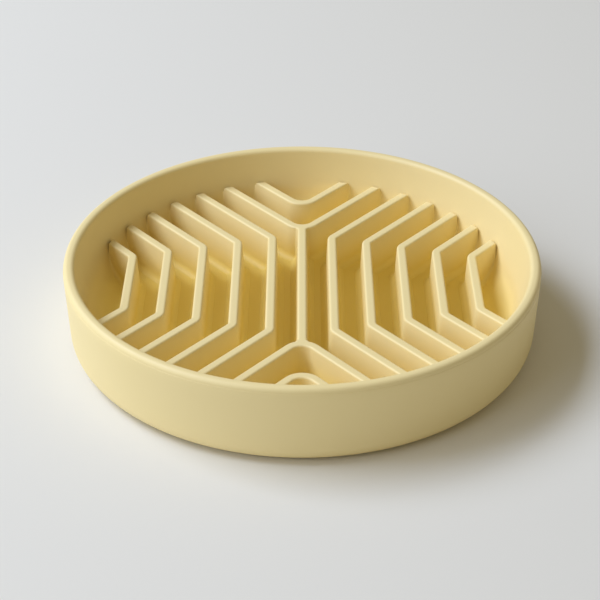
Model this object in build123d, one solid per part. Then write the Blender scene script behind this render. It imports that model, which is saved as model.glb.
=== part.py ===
from build123d import *
from math import cos, radians, sin, tan
import os

# A slow feeder bowl: a round shallow dish, moulded with upright ribs that make a maze of channels on its
# floor, standing on non-slip feet. Millimetres, +Z up, +X right, +Y away from the viewer. The origin is
# the middle of the surface that the feet stand on.

# Dish
RIM_DIAMETER = 220.0
BOWL_HEIGHT = 39.2
RIM_WALL = 5.0
LIP_ROUND_SHARE = 0.45
OUTER_DRAFT = 2.5
INNER_DRAFT = 13.0
BOTTOM_CORNER_RADIUS = 7.5
FLOOR_CORNER_RADIUS = 14.0
FLOOR_THICKNESS = 4.2
BASE_RECESS = 2.2
STANDING_RING_WIDTH = 26.0

# Ribs
RIB_HEIGHT = 17.5
RIB_WIDTH = 4.2
RIB_DRAFT = 3.0
RIB_EDGE_RADIUS = 0.7
BEND_RADIUS = 0.4
FORK_RADIUS = 4.3
ARM_ANGLE = 49.6
SIDE_RIB_COUNT = 5

# Places of the ribs, as shares of the radius at which their tops meet the wall: the side ribs' distance from
# the centre line, the length of their straight stretch on each side of the middle, and the vees' apexes
FIRST_RIB_SHARE = 0.143
LAST_RIB_SHARE = 0.799
FIRST_BEND_SHARE = 0.405
LAST_BEND_SHARE = 0.231
FORK_SHARE = 0.474
VEE_SHARE = 0.716

# Feet
FOOT_COUNT = 6
FOOT_DIAMETER = 16.0
FOOT_THICKNESS = 2.3
FOOT_PROUD = 0.8
FOOT_EDGE_RADIUS = 0.4
FOOT_CLEARANCE = 0.1

# Cuts and trimmed pieces run past the faces that they meet by this much
OVERRUN = 1.0

base_level = FOOT_PROUD
recess_level = base_level + BASE_RECESS
floor_level = recess_level + FLOOR_THICKNESS
rib_level = floor_level + RIB_HEIGHT
rim_level = base_level + BOWL_HEIGHT
rim_radius = RIM_DIAMETER / 2

# Ribs are drawn from a little under the floor, where the draft has spread them most
rib_foot_level = floor_level - OVERRUN
rib_spread = (rib_level - rib_foot_level) * tan(radians(RIB_DRAFT))
rib_foot_width = RIB_WIDTH + 2 * rib_spread


def rounded(face, corner, radius):
    """The face with the corner nearest to a point rounded."""
    nearest = min(face.vertices(), key=lambda vertex: (Vector(*vertex) - corner).length)
    return face.fillet_2d(radius, [nearest])


def turned(points, corner, radius):
    """A solid of revolution about Z from a half section of (radius, height) points, with one round corner."""
    section = make_face(Plane.XZ * Polyline(*points, close=True)).face()
    section = rounded(section, Vector(corner[0], 0, corner[1]), radius)
    return revolve(section, Axis.Z)


def outer_radius(level):
    """Radius of the outer wall at a height: widest at the lip, narrower towards the base by the draft."""
    return rim_radius - (rim_level - level) * tan(radians(OUTER_DRAFT))


def inner_radius(level):
    """Radius of the inner wall at a height."""
    return rim_radius - RIM_WALL - (rim_level - level) * tan(radians(INNER_DRAFT))


def rib_place(share):
    """A distance from the middle of the dish, as a share of the radius at which rib tops meet the wall."""
    return share * inner_radius(rib_level)


def cavity():
    """The space inside the dish, from the floor to just above the rim."""
    mouth_level = rim_level + OVERRUN
    foot = (inner_radius(floor_level), floor_level)
    points = [(0, floor_level), foot, (inner_radius(mouth_level), mouth_level), (0, mouth_level)]
    return turned(points, foot, FLOOR_CORNER_RADIUS)


def foot_places():
    """Centres of the feet, on the middle of the standing ring."""
    ring_outside = outer_radius(base_level) - BOTTOM_CORNER_RADIUS
    return PolarLocations(ring_outside - STANDING_RING_WIDTH / 2, FOOT_COUNT)


def bowl_shell(inside):
    """Wall, floor and standing ring, with a recess under the floor and a pocket for each foot."""
    heel = (outer_radius(base_level), base_level)
    points = [(0, base_level), heel, (rim_radius, rim_level), (0, rim_level)]
    shell = turned(points, heel, BOTTOM_CORNER_RADIUS) - inside
    lip = shell.edges().filter_by(GeomType.CIRCLE).group_by(Axis.Z)[-1]
    shell = fillet(lip, LIP_ROUND_SHARE * RIM_WALL)
    recess_radius = outer_radius(base_level) - BOTTOM_CORNER_RADIUS - STANDING_RING_WIDTH
    align = (Align.CENTER, Align.CENTER, Align.MAX)
    recess = Pos(0, 0, recess_level) * Cylinder(recess_radius, BASE_RECESS + OVERRUN, align=align)
    pocket_depth = FOOT_THICKNESS - FOOT_PROUD
    pocket = Cylinder(FOOT_DIAMETER / 2 + FOOT_CLEARANCE, pocket_depth + OVERRUN, align=align)
    pockets = [Pos(0, 0, base_level + pocket_depth) * place * pocket for place in foot_places()]
    return shell - recess - pockets


def foot_pad(place):
    """A round foot with a softened standing edge, seated against the top of its pocket."""
    pad = Cylinder(FOOT_DIAMETER / 2, FOOT_THICKNESS, align=(Align.CENTER, Align.CENTER, Align.MIN))
    standing_edge = pad.edges().group_by(Axis.Z)[0]
    return place * fillet(standing_edge, FOOT_EDGE_RADIUS)


def strip(points, radius, inset):
    """The plan of a rib: a strip along a bent line, as wide as the rib's foot less an inset on each side.

    At each bend the strip's two edges meet on the mitre. At the foot, the inside of the bend has the given
    radius and the outside has that radius plus the foot's width. The inset opens one and tightens the other.
    """
    line = [Vector(*point) for point in points]
    headings = [(after - before).normalized() for before, after in zip(line, line[1:])]
    normals = [heading.rotate(Axis.Z, 90) for heading in headings]
    mitres = [(one + two) / (1 + one.dot(two)) for one, two in zip(normals, normals[1:])]
    steps = [normals[0], *mitres, normals[-1]]
    half_width = rib_foot_width / 2 - inset
    left = [point + step * half_width for point, step in zip(line, steps)]
    right = [point - step * half_width for point, step in zip(line, steps)]
    face = make_face(Polyline(*right, *reversed(left), close=True)).face()
    for index, (before, after) in enumerate(zip(headings, headings[1:]), start=1):
        turns_left = before.cross(after).Z > 0
        inside, outside = (left, right) if turns_left else (right, left)
        face = rounded(face, inside[index], radius + inset)
        face = rounded(face, outside[index], radius + rib_foot_width - inset)
    return face


def raised(points, radius):
    """A rib along a bent line, with drafted sides, from under the floor to its top."""
    foot = Pos(0, 0, rib_foot_level) * strip(points, radius, 0)
    top = Pos(0, 0, rib_level) * strip(points, radius, rib_spread)
    return loft([foot, top], ruled=True)


def trimmed(rib, inside):
    """The rib with soft top edges, and its foot and ends cut to the dish."""
    top = rib.faces().sort_by(Axis.Z)[-1]
    return fillet(top.edges(), RIB_EDGE_RADIUS) & inside


def arm_end(bend, across, along):
    """Where an arm from a bend ends, well outside the dish; across and along are the signs of its slope."""
    slope = radians(ARM_ANGLE)
    return (bend[0] + across * rim_radius * cos(slope), bend[1] + along * rim_radius * sin(slope))


def bracket_rib(number, across):
    """A side rib: a straight stretch along Y, with an arm to the wall at each end. They are evenly spaced."""
    way = (number - 1) / (SIDE_RIB_COUNT - 1)
    x = across * rib_place(FIRST_RIB_SHARE + way * (LAST_RIB_SHARE - FIRST_RIB_SHARE))
    y = rib_place(FIRST_BEND_SHARE + way * (LAST_BEND_SHARE - FIRST_BEND_SHARE))
    front, rear = (x, -y), (x, y)
    return raised([arm_end(front, across, -1), front, rear, arm_end(rear, across, 1)], BEND_RADIUS)


def vee_rib(share, along):
    """A vee: two arms from a round apex on the centre line."""
    apex = (0, along * rib_place(share))
    return raised([arm_end(apex, -1, along), apex, arm_end(apex, 1, along)], FORK_RADIUS)


def centre_rib():
    """A stem along the centre line with a vee at each end, and rounded corners where they meet."""
    bend_radius = FORK_RADIUS + rib_foot_width / 2
    stem_end = rib_place(FORK_SHARE) + bend_radius / cos(radians(ARM_ANGLE)) - bend_radius
    rib = raised([(0, -stem_end), (0, stem_end)], BEND_RADIUS)
    rib += [vee_rib(FORK_SHARE, along) for along in (1, -1)]
    upright = rib.edges().filter_by(lambda edge: edge.bounding_box().size.Z > OVERRUN)
    tops = [(across * RIB_WIDTH / 2, along * stem_end, rib_level) for across in (1, -1) for along in (1, -1)]
    return fillet([upright.sort_by_distance(top)[0] for top in tops], BEND_RADIUS)


inside = cavity()
nodes = {"bowl_shell": bowl_shell(inside), "centre_rib": trimmed(centre_rib(), inside)}
for side, along in (("rear", 1), ("front", -1)):
    nodes[f"{side}_vee_rib"] = trimmed(vee_rib(VEE_SHARE, along), inside)
for side, across in (("left", -1), ("right", 1)):
    for number in range(1, SIDE_RIB_COUNT + 1):
        nodes[f"{side}_rib_{number}"] = trimmed(bracket_rib(number, across), inside)
for number, place in enumerate(foot_places(), start=1):
    nodes[f"foot_pad_{number}"] = foot_pad(place)

os.makedirs("parts", exist_ok=True)
for name, piece in nodes.items():
    export_step(piece, f"parts/{name}.step")
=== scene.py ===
import math
import bpy
import numpy as np
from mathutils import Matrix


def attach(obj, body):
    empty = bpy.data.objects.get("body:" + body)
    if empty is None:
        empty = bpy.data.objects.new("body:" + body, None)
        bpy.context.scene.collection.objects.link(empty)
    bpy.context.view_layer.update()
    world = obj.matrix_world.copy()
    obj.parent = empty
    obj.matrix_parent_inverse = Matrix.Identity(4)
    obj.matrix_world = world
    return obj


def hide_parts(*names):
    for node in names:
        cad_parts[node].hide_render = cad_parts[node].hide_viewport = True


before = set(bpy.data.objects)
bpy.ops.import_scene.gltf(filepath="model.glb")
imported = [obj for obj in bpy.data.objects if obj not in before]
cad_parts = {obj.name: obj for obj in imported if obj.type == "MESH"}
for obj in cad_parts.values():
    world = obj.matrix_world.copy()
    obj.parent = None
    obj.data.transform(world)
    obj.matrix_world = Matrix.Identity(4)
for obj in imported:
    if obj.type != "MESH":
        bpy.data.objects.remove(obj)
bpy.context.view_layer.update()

# The dish: one injection moulding in pale yellow plastic, turned in shape, with a full round lip, a nearly
# upright outer wall, a wide round heel and a flat floor that curves up into the wall.
# Its underside has a shallow recess inside a broad standing ring.

mm = 0.001
rim_radius, rim_level = 110.0 * mm, 40.0 * mm
lip_wall, lip_round = 5.0 * mm, 2.25 * mm
outer_draft, inner_draft = math.radians(2.5), math.radians(13.0)
base_level, recess_level, floor_level = 0.8 * mm, 3.0 * mm, 7.2 * mm
heel_round, floor_round = 7.5 * mm, 14.0 * mm
ring_width, recess_round, recess_chamfer = 26.0 * mm, 0.8 * mm, 0.3 * mm
ledge_width, ledge_drop, ledge_round = 0.13 * mm, 0.1 * mm, 0.08 * mm
dish_steps = 256


def arc(centre, radius, start, end, count):
    """Points on a circle in the (radius, height) half plane, from one angle to another, in degrees."""
    angle = np.radians(np.linspace(start, end, count))
    return np.stack([centre[0] + radius * np.cos(angle), centre[1] + radius * np.sin(angle)], axis=1)


def straight(start, end, count):
    """Evenly spaced points between two points, without the end points."""
    way = np.linspace(0.0, 1.0, count + 2)[1:-1, None]
    return np.asarray(start) * (1.0 - way) + np.asarray(end) * way


def outer_wall(level):
    """Radius of the outer wall: the rim's radius less the drop from the rim times the draft's tangent."""
    return rim_radius - (rim_level - level) * math.tan(outer_draft)


def inner_wall(level):
    """Radius of the straight part of the inner wall, reckoned down from the lip in the same way."""
    return rim_radius - lip_wall - (rim_level - level) * math.tan(inner_draft)


floor_corner = (
    inner_wall(floor_level + floor_round) - floor_round / math.cos(inner_draft),
    floor_level + floor_round,
)


def dish_section():
    """Half section of the dish, from the middle of the floor over the lip to the middle of the underside.

    Straight runs joined by arcs that are tangent to both: floor, floor corner, inner wall, lip, outer wall,
    heel, standing ring, and the recess with a small round at its edge. The lip's outer arc is set in a
    little, which leaves the mould's parting line as a fine ledge on top of the outer wall.
    """
    inner_angle, outer_angle = math.degrees(inner_draft), math.degrees(outer_draft)
    lip_level = rim_level - lip_round
    inner_lip = (inner_wall(lip_level) + lip_round / math.cos(inner_draft), lip_level)
    outer_lip = (outer_wall(lip_level) - lip_round / math.cos(outer_draft) - ledge_width, lip_level)
    heel_level = base_level + heel_round
    heel = (outer_wall(heel_level) - heel_round / math.cos(outer_draft), heel_level)
    ring_inside = heel[0] - ring_width
    corner = arc(floor_corner, floor_round, -90.0, -inner_angle, 25)
    inside_lip = arc(inner_lip, lip_round, 180.0 - inner_angle, 90.0, 10)
    outside_lip = arc(outer_lip, lip_round, 90.0, -outer_angle, 12)
    ledge_level = outside_lip[-1, 1] - ledge_drop
    ledge_edge = (outer_wall(ledge_level) - ledge_round, ledge_level - ledge_round)
    ledge_top = [(outside_lip[-1, 0], ledge_level), (ledge_edge[0], ledge_level)]
    ledge_arc = arc(ledge_edge, ledge_round, 60.0, 0.0, 3)
    heel_arc = arc(heel, heel_round, -outer_angle, -90.0, 18)
    ring_corner = (ring_inside + recess_round, base_level + recess_round)
    ring_edge = arc(ring_corner, recess_round, -90.0, -180.0, 6)
    recess_edge = (ring_inside - recess_chamfer, recess_level)
    runs = [
        straight((0.0, floor_level), corner[0], 12), corner,
        straight(corner[-1], inside_lip[0], 6), inside_lip, outside_lip, ledge_top, ledge_arc,
        straight(ledge_arc[-1], heel_arc[0], 6), heel_arc,
        straight(heel_arc[-1], ring_edge[0], 4), ring_edge,
        [(ring_inside, recess_level - recess_chamfer), recess_edge],
        straight(recess_edge, (0.0, recess_level), 8),
    ]
    return np.concatenate([np.asarray(run) for run in runs])


def smooth_mesh(name, points, faces):
    """A mesh object from an array of points and a list of faces, shaded smooth."""
    mesh = bpy.data.meshes.new(name)
    mesh.from_pydata(points.tolist(), [], faces)
    mesh.validate()
    mesh.shade_smooth()
    piece = bpy.data.objects.new(name, mesh)
    bpy.context.scene.collection.objects.link(piece)
    return piece


def grid_faces(rows, columns):
    """Quads of a grid whose columns close on themselves, as indices row times columns plus column."""
    row, column = np.meshgrid(np.arange(rows - 1), np.arange(columns), indexing="ij")
    after = (column + 1) % columns
    corners = [
        row * columns + column, row * columns + after,
        (row + 1) * columns + after, (row + 1) * columns + column,
    ]
    return np.stack(corners, axis=-1).reshape(-1, 4).tolist()


def turned(name, section, top, bottom, around):
    """A closed body turned about Z: each section point (r, z) goes to (r cos a, r sin a, z) all round.

    A point on the axis closes the body at each end of the section.
    """
    angle = np.linspace(0.0, 2.0 * np.pi, around, endpoint=False)
    radius, level = section[:, :1], section[:, 1:]
    rings = np.stack([radius * np.cos(angle), radius * np.sin(angle), level + 0.0 * angle], axis=-1)
    poles = [(0.0, 0.0, top), (0.0, 0.0, bottom)]
    points = np.concatenate([rings.reshape(-1, 3), poles])
    rows = len(section)
    top_pole, bottom_pole = rows * around, rows * around + 1
    column = np.arange(around)
    after = (column + 1) % around
    end = (rows - 1) * around
    caps = np.concatenate([
        np.stack([np.full(around, top_pole), column, after], axis=1),
        np.stack([end + column, np.full(around, bottom_pole), end + after], axis=1),
    ])
    quads = np.asarray(grid_faces(rows, around))[:, ::-1]
    return smooth_mesh(name, points, quads.tolist() + caps.tolist())


def moulded_plastic():
    """Pale yellow plastic with a fine spark-eroded grain, a slow drift in tone, a soft sheen, and painted shade
    that turns it a deeper gold low in the channels.
    """
    material = bpy.data.materials.new("pale_yellow_moulding")
    material.use_nodes = True
    nodes, links = material.node_tree.nodes, material.node_tree.links
    shader = nodes["Principled BSDF"]
    place = nodes.new("ShaderNodeTexCoord")

    drift = nodes.new("ShaderNodeTexNoise")
    drift.inputs["Scale"].default_value = 22.0
    drift.inputs["Detail"].default_value = 3.0
    links.new(place.outputs["Object"], drift.inputs["Vector"])
    # Painted shade: a per-point value that grows towards the channel floors mixes the deeper gold into the
    # colour
    painted_shade_depth = nodes.new("ShaderNodeAttribute")
    painted_shade_depth.attribute_name = "painted_shade_depth"
    drift_and_painted_shade = nodes.new("ShaderNodeMath")
    drift_and_painted_shade.operation = "MULTIPLY_ADD"
    drift_and_painted_shade.inputs[1].default_value = 0.15
    links.new(drift.outputs["Fac"], drift_and_painted_shade.inputs[0])
    links.new(painted_shade_depth.outputs["Fac"], drift_and_painted_shade.inputs[2])
    tone = nodes.new("ShaderNodeValToRGB")
    tone.color_ramp.elements[0].position = 0.07
    tone.color_ramp.elements[0].color = (0.92, 0.76, 0.38, 1.0)
    # The second colour is painted shade: the deeper gold that stands in for the shade on the channel floors
    tone.color_ramp.elements[1].position = 0.93
    tone.color_ramp.elements[1].color = (0.92, 0.72, 0.19, 1.0)
    links.new(drift_and_painted_shade.outputs["Value"], tone.inputs["Fac"])
    links.new(tone.outputs["Color"], shader.inputs["Base Color"])

    cloud = nodes.new("ShaderNodeTexNoise")
    cloud.inputs["Scale"].default_value = 160.0
    cloud.inputs["Detail"].default_value = 4.0
    links.new(place.outputs["Object"], cloud.inputs["Vector"])
    rough = nodes.new("ShaderNodeMapRange")
    rough.inputs["To Min"].default_value = 0.46
    rough.inputs["To Max"].default_value = 0.58
    links.new(cloud.outputs["Fac"], rough.inputs["Value"])
    links.new(rough.outputs["Result"], shader.inputs["Roughness"])

    grain = nodes.new("ShaderNodeTexNoise")
    grain.inputs["Scale"].default_value = 2600.0
    grain.inputs["Detail"].default_value = 2.0
    links.new(place.outputs["Object"], grain.inputs["Vector"])
    bump = nodes.new("ShaderNodeBump")
    bump.inputs["Strength"].default_value = 0.08
    bump.inputs["Distance"].default_value = 0.05 * mm
    links.new(grain.outputs["Fac"], bump.inputs["Height"])
    links.new(bump.outputs["Normal"], shader.inputs["Normal"])
    return material


plastic = moulded_plastic()
rib_level = 24.7 * mm
# How strong the painted channel shade is at the floor
deepest_painted_shade = 0.85


def paint_channel_shade(piece):
    """Marks how deep each point lies in the channels, as painted shade: the plastic turns a deeper gold towards
    the channel floors, where shade falls.

    It is the deepest value times the square of the point's share of the way from the ribs' tops to the floor,
    and none on the outside and the underside of the dish.
    """
    place = np.empty(3 * len(piece.data.vertices))
    piece.data.vertices.foreach_get("co", place)
    x, y, z = place.reshape(-1, 3).T
    share = np.clip((rib_level - z) / (rib_level - floor_level), 0.0, 1.0)
    within = (np.hypot(x, y) < inner_wall(rib_level)) & (z > (recess_level + floor_level) / 2.0)
    painted_shade_depth = piece.data.attributes.new("painted_shade_depth", "FLOAT", "POINT")
    painted_shade_depth.data.foreach_set("value", deepest_painted_shade * share ** 2 * within)


dish = turned("dish", dish_section(), floor_level, recess_level, dish_steps)
dish.data.materials.append(plastic)
# Painted shade, deeper gold towards the channel floors, on the dish and on every rib below
paint_channel_shade(dish)
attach(dish, "root")
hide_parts("bowl_shell")


# The centre rib: a stem along the middle of the dish with a vee at each end, part of the same moulding.
# Like every rib it has drafted sides, soft top edges, a round root along the floor, and upright rounded ends
# that stand a little off the wall at the top and run into its slope lower down.

rib_half, rib_draft = 2.1 * mm, math.radians(3.0)
root_depth = 1.0 * mm
rib_foot = rib_half + (rib_level - floor_level + root_depth) * math.tan(rib_draft)
edge_round, root_round, fork_round = 1.0 * mm, 2.8 * mm, 1.0 * mm
end_round, nose_round = 0.9 * mm, 1.5 * mm
arm_angle = math.radians(49.6)
rib_circle = inner_wall(rib_level)
fork_inside, fork_reach = 4.3 * mm, 0.474 * rib_circle
rib_end, least_rib, nose_share = 100.6 * mm, 0.3 * mm, 0.98
tightest_bend, bend_steps = 0.3 * mm, 13
sunk, skirt = 0.8 * mm, 0.02 * mm


def floor_height(radius):
    """Height of the inside of the dish at a radius: flat floor, then the floor corner's arc, then the wall."""
    out = np.clip(radius - floor_corner[0], 0.0, floor_round * math.cos(inner_draft))
    on_arc = floor_corner[1] - np.sqrt(floor_round ** 2 - out ** 2)
    foot = floor_corner[0] + floor_round * math.cos(inner_draft)
    return on_arc + np.maximum(radius - foot, 0.0) / math.tan(inner_draft)


def top_height(radius, top):
    """Height of a rib's top: level, then an arc that drops to the rib's end and stops just short of upright."""
    out = np.clip(radius - (rib_end - nose_round), 0.0, nose_share * nose_round)
    return top - nose_round + np.sqrt(nose_round ** 2 - out ** 2)


def rounding(distance, radius):
    """How far a round stands out from a face, at a distance d from the corner: r - sqrt(r^2 - (r - d)^2)."""
    back = np.clip(radius - distance, 0.0, radius)
    return radius - np.sqrt(radius ** 2 - back ** 2)


def rib_section():
    """A rib's section from root to root: distance from its middle, root round, share of the height.

    A round root, a side that leans in by the draft, a round top edge and a level top, mirrored. The root
    round is how much of the distance belongs to it, r (1 - sin a) at the height r (1 - cos a).
    """
    height = rib_level - floor_level

    def side(level):
        return rib_half + (height - level) * math.tan(rib_draft)

    turn = np.radians(np.linspace(0.0, 90.0, 8))
    levels = root_round * (1.0 - np.cos(turn))
    root = np.stack([side(levels), levels, root_round * (1.0 - np.sin(turn))], axis=1)
    levels = np.linspace(root_round, height - edge_round, 7)[1:-1]
    flank = np.stack([side(levels), levels, 0.0 * levels], axis=1)
    middle = side(height - edge_round) - edge_round
    turn = np.radians(np.linspace(0.0, 90.0, 7))
    across, drop = edge_round * np.cos(turn), edge_round * (1.0 - np.sin(turn))
    edge = np.stack([middle + across, height - drop, 0.0 * turn], axis=1)
    half = np.concatenate([root, flank, edge, [(0.5 * middle, height, 0.0)]])
    whole = np.concatenate([half, [(0.0, height, 0.0)], half[::-1] * (-1.0, 1.0, 1.0)])
    return whole[:, 0] + np.sign(whole[:, 0]) * whole[:, 2], whole[:, 2:], whole[:, 1:2] / height


def offset_line(corners, inside, distance, ways):
    """A bent line moved sideways, as a grid of points: one row for each distance, one column for each step.

    Straight runs meet at the mitre point, corner plus distance times (n1 + n2) / (1 + n1.n2), and are joined
    there by an arc. The arc's radius is that of the middle line less the distance towards the inside, but
    never less than a small round. The last runs end where they meet the circle of the ribs' ends.
    """
    corners = np.asarray(corners)
    heading = np.diff(corners, axis=0)
    heading /= np.linalg.norm(heading, axis=1, keepdims=True)
    normal = np.stack([-heading[:, 1], heading[:, 0]], axis=1)
    far = distance[:, None]
    to_left = np.sign(heading[:-1, 0] * heading[1:, 1] - heading[:-1, 1] * heading[1:, 0])
    turn = np.arccos(np.clip((heading[:-1] * heading[1:]).sum(axis=1), -1.0, 1.0))
    mitre = (normal[:-1] + normal[1:]) / (1.0 + (normal[:-1] * normal[1:]).sum(axis=1))[:, None]
    bends = [corners[i + 1] + far * mitre[i] for i in range(len(turn))]
    radii = [np.maximum(inside + rib_foot - to_left[i] * far, tightest_bend) for i in range(len(turn))]
    reach = [radii[i] * math.tan(turn[i] / 2.0) for i in range(len(turn))]

    def wall_end(point, direction):
        along = (point * direction).sum(axis=1, keepdims=True)
        apart = (point ** 2).sum(axis=1, keepdims=True)
        return point + direction * (np.sqrt(along ** 2 - apart + rib_end ** 2) - along)

    starts = [wall_end(bends[0], -heading[0])] if len(bends) else [corners[0] + far * normal[0]]
    starts += [bends[i] + reach[i] * heading[i + 1] for i in range(len(bends))]
    ends = [bends[i] - reach[i] * heading[i] for i in range(len(bends))]
    ends += [wall_end(bends[-1], heading[-1])] if len(bends) else [corners[-1] + far * normal[-1]]
    points, normals = [], []
    for i in range(len(heading)):
        way = ways[i][None, :, None]
        points.append(starts[i][:, None] * (1.0 - way) + ends[i][:, None] * way)
        normals.append(np.broadcast_to(normal[i], points[-1].shape))
        if i < len(bends):
            part = to_left[i] * turn[i] * np.linspace(0.0, 1.0, bend_steps)[1:-1][None, :, None]
            middle = (ends[i] + to_left[i] * radii[i] * normal[i])[:, None]
            facing = np.cos(part) * normal[i] - np.sin(part) * heading[i]
            points.append(middle - to_left[i] * radii[i][:, None] * facing)
            normals.append(np.broadcast_to(facing, points[-1].shape))
    return np.concatenate(points, axis=1), np.concatenate(normals, axis=1)


def rib_along(name, corners, inside, ways, lowered=0.0, meets=None):
    """A rib: its section carried along a bent line, from the floor of the dish to its top.

    A point's height is the floor's height below it plus its share of the way to the rib's top. It moves in
    along the line's normal by the round of the rib's end, and by as much of the root round as the rib loses
    in height where the floor rises, and out by the round into the piece that the rib meets. An underside a
    little below the floor closes it.
    """
    distance, root, share = rib_section()
    flat, normal = offset_line(corners, inside, distance, ways)
    top = rib_level - lowered

    def heights(radius):
        bottom = np.minimum(floor_height(radius), top_height(radius, top) - least_rib)
        return bottom, top_height(radius, top) - bottom

    radius = np.linalg.norm(flat, axis=2)
    bottom, height = heights(radius)
    out = -rounding(rib_end - radius, end_round) - root * (1.0 - height / (rib_level - floor_level))
    if meets is not None:
        out = np.maximum(rounding(meets(flat, bottom + share * height), fork_round) - root, 0.0)
    flat = flat + normal * (np.sign(distance)[:, None] * out)[:, :, None]
    bottom, height = heights(np.linalg.norm(flat, axis=2))
    level = bottom + share * height
    skin = np.concatenate([flat, level[:, :, None]], axis=2)
    foot = skin[[-1, 0]] - (0.0, 0.0, sunk)
    skin[[0, -1], :, 2] -= skirt
    points = np.concatenate([skin, foot]).transpose(1, 0, 2)
    steps, around = points.shape[:2]
    faces = grid_faces(steps, around)
    caps = [np.arange(around)[::-1].tolist(), ((steps - 1) * around + np.arange(around)).tolist()]
    return smooth_mesh(name, points.reshape(-1, 3), faces + caps)


def arm_end(bend, across, along):
    """A point well outside the dish, along an arm from a bend."""
    x = bend[0] + across * rim_radius * math.cos(arm_angle)
    y = bend[1] + along * rim_radius * math.sin(arm_angle)
    return (x, y)


# Steps along an arm, closer together towards the wall, where the rib's end is round
towards_wall = 1.0 - (1.0 - np.linspace(0.0, 1.0, 50)) ** 2.6


def vee(name, reach, along):
    """Two arms from a round apex on the centre line to the wall."""
    apex = (0.0, along * reach)
    corners = [arm_end(apex, -along, along), apex, arm_end(apex, along, along)]
    return rib_along(name, corners, fork_inside, [1.0 - towards_wall[::-1], towards_wall])


fork_middle = fork_inside + rib_foot
fork_centre = fork_reach + fork_middle / math.cos(arm_angle)


def fork_distance(flat, level):
    """How far a point is from the outside of the nearer fork's round apex."""
    beyond = np.abs(flat[:, :, 1])
    outside = fork_middle + rib_half + (rib_level - level) * math.tan(rib_draft)
    return np.hypot(flat[:, :, 0], fork_centre - beyond) - outside


# The stem's top lies a hair below the forks' tops, so that the two don't share a face where they overlap
stem_reach, stem_drop = fork_centre - fork_middle, 0.02 * mm
stem_line = [(0.0, -stem_reach), (0.0, stem_reach)]
stem_steps = 0.5 - 0.5 * np.cos(np.linspace(0.0, np.pi, 60))
stem = rib_along("stem", stem_line, fork_inside, [stem_steps], stem_drop, fork_distance)
rear_fork = vee("rear_fork", fork_reach, 1)
front_fork = vee("front_fork", fork_reach, -1)
for piece in (stem, rear_fork, front_fork):
    piece.data.materials.append(plastic)
    paint_channel_shade(piece)
    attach(piece, "root")
    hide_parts("centre_rib")


# The vee ribs: one more vee outside each fork, which closes off a small pocket against the wall.
# They belong to the same moulding.

vee_reach = 0.716 * rib_circle
for side, along in (("rear", 1), ("front", -1)):
    piece = vee(f"{side}_vee", vee_reach, along)
    piece.data.materials.append(plastic)
    paint_channel_shade(piece)
    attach(piece, "root")
    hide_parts(f"{side}_vee_rib")


# The side ribs: on each side of the stem, evenly spaced, straight along the middle and bent at both ends
# into arms that run out to the wall. They belong to the same moulding.

side_ribs = 5
bend_inside = 1.2 * mm
first_rib, last_rib = 0.143 * rib_circle, 0.799 * rib_circle
first_bend, last_bend = 0.405 * rib_circle, 0.231 * rib_circle
middle_steps = np.linspace(0.0, 1.0, 7)
for side, across in (("left", -1), ("right", 1)):
    for number in range(side_ribs):
        way = number / (side_ribs - 1)
        x = across * (first_rib + way * (last_rib - first_rib))
        y = first_bend + way * (last_bend - first_bend)
        front, rear = (x, -across * y), (x, across * y)
        corners = [arm_end(front, across, -across), front, rear, arm_end(rear, across, across)]
        steps = [1.0 - towards_wall[::-1], middle_steps, towards_wall]
        piece = rib_along(f"{side}_maze_rib_{number + 1}", corners, bend_inside, steps)
        piece.data.materials.append(plastic)
        paint_channel_shade(piece)
        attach(piece, "root")
        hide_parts(f"{side}_rib_{number + 1}")


# The feet: discs of soft grey rubber with a round standing edge, so that the bowl doesn't slide.
# Each is moulded by itself and glued into a shallow pocket in the standing ring.

foot_count, foot_steps = 6, 48
foot_radius, foot_height = 8.0 * mm, 2.3 * mm
foot_round, foot_chamfer = 0.4 * mm, 0.1 * mm
foot_circle = outer_wall(base_level) - heel_round - ring_width / 2.0


def soft_rubber():
    """Warm grey rubber: dull, with a fine speckle and a slightly pebbled skin."""
    material = bpy.data.materials.new("grey_foot_rubber")
    material.use_nodes = True
    nodes, links = material.node_tree.nodes, material.node_tree.links
    shader = nodes["Principled BSDF"]
    shader.inputs["Roughness"].default_value = 0.75
    place = nodes.new("ShaderNodeTexCoord")
    speckle = nodes.new("ShaderNodeTexNoise")
    speckle.inputs["Scale"].default_value = 900.0
    links.new(place.outputs["Object"], speckle.inputs["Vector"])
    tone = nodes.new("ShaderNodeValToRGB")
    tone.color_ramp.elements[0].color = (0.22, 0.215, 0.20, 1.0)
    tone.color_ramp.elements[1].color = (0.30, 0.295, 0.27, 1.0)
    links.new(speckle.outputs["Fac"], tone.inputs["Fac"])
    links.new(tone.outputs["Color"], shader.inputs["Base Color"])
    bump = nodes.new("ShaderNodeBump")
    bump.inputs["Strength"].default_value = 0.2
    bump.inputs["Distance"].default_value = 0.1 * mm
    links.new(speckle.outputs["Fac"], bump.inputs["Height"])
    links.new(bump.outputs["Normal"], shader.inputs["Normal"])
    return material


rubber = soft_rubber()
foot_section = np.concatenate([
    [(0.5 * foot_radius, foot_height), (foot_radius - foot_chamfer, foot_height)],
    [(foot_radius, foot_height - foot_chamfer)],
    arc((foot_radius - foot_round, foot_round), foot_round, 0.0, -90.0, 7),
    [(0.5 * foot_radius, 0.0)],
])
for number in range(foot_count):
    foot = turned(f"foot_{number + 1}", foot_section, foot_height, 0.0, foot_steps)
    angle = 2.0 * math.pi * number / foot_count
    place = np.empty(3 * len(foot.data.vertices))
    foot.data.vertices.foreach_get("co", place)
    place = place.reshape(-1, 3) + (foot_circle * math.cos(angle), foot_circle * math.sin(angle), 0.0)
    foot.data.vertices.foreach_set("co", place.ravel())
    foot.data.materials.append(rubber)
    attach(foot, "root")
    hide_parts(f"foot_pad_{number + 1}")


# The studio: a plain pale floor that runs out of sight, like a paper sweep.
# A broad soft lamp from the upper left does most of the lighting, as a window would. A weak one at the front
# left and a dim warm light from all round fill the shade.

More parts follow.
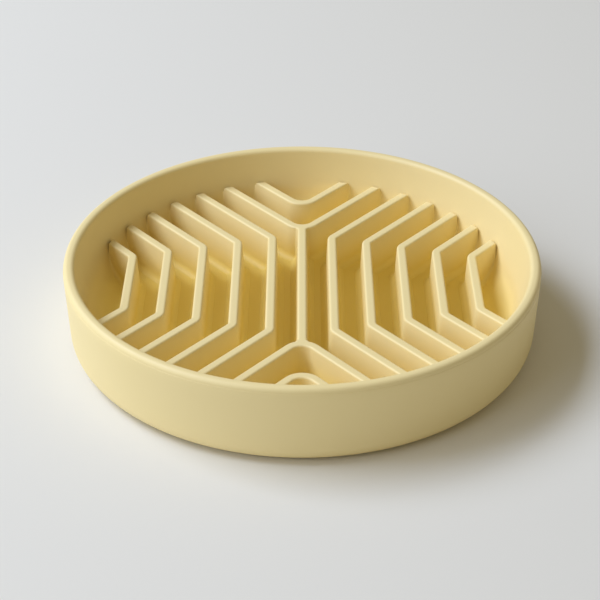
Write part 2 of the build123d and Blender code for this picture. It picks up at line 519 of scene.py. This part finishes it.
half_floor = 4.0
floor_corners = half_floor * np.array([(-1, -1, 0), (1, -1, 0), (1, 1, 0), (-1, 1, 0)])
floor_mesh = bpy.data.meshes.new("studio_floor")
floor_mesh.from_pydata(floor_corners.tolist(), [], [(0, 1, 2, 3)])
floor = bpy.data.objects.new("studio_floor", floor_mesh)
bpy.context.scene.collection.objects.link(floor)
pale = bpy.data.materials.new("pale_floor")
pale.use_nodes = True
paper = pale.node_tree.nodes["Principled BSDF"]
paper.inputs["Base Color"].default_value = (0.805, 0.785, 0.715, 1.0)
paper.inputs["Roughness"].default_value = 0.9
floor.data.materials.append(pale)


def soft_lamp(name, turn, height, far, tall, wide, watts, colour):
    """A flat lamp that faces the bowl from a distance, at a turn about Z and a height, both in degrees."""
    light = bpy.data.lights.new(name, "AREA")
    light.shape = "RECTANGLE"
    light.size, light.size_y = tall, wide
    light.energy = watts
    light.color = colour
    lamp = bpy.data.objects.new(name, light)
    turn, height = math.radians(turn), math.radians(height)
    level = far * math.cos(height)
    lamp.location = (level * math.cos(turn), level * math.sin(turn), far * math.sin(height))
    lamp.rotation_euler = (0.0, math.pi / 2.0 - height, turn)
    bpy.context.scene.collection.objects.link(lamp)


soft_lamp("window", turn=166.0, height=50.0, far=2.6, tall=1.1, wide=1.8,
          watts=51.0, colour=(0.90, 1.0, 1.24))
soft_lamp("reflector", turn=212.0, height=28.0, far=2.4, tall=1.4, wide=1.4,
          watts=14.0, colour=(0.91, 1.0, 1.2))

world = bpy.data.worlds.new("studio")
world.use_nodes = True
surround = world.node_tree.nodes["Background"]
surround.inputs["Color"].default_value = (1.0, 0.89, 0.64, 1.0)
surround.inputs["Strength"].default_value = 0.275
bpy.context.scene.world = world

# The camera stands in front of the bowl and looks down on it
look_down, look_aside = math.radians(32.142), math.radians(0.049)
camera = bpy.data.cameras.new("camera")
camera.sensor_width = 36.0
camera.lens = 100.34
view = bpy.data.objects.new("camera", camera)
view.location = (-0.00045, -0.66541, 0.43233)
view.rotation_euler = (math.pi / 2.0 - look_down, 0.0, look_aside)
bpy.context.scene.collection.objects.link(view)
bpy.context.scene.camera = view
bpy.context.scene.view_settings.view_transform = "Standard"
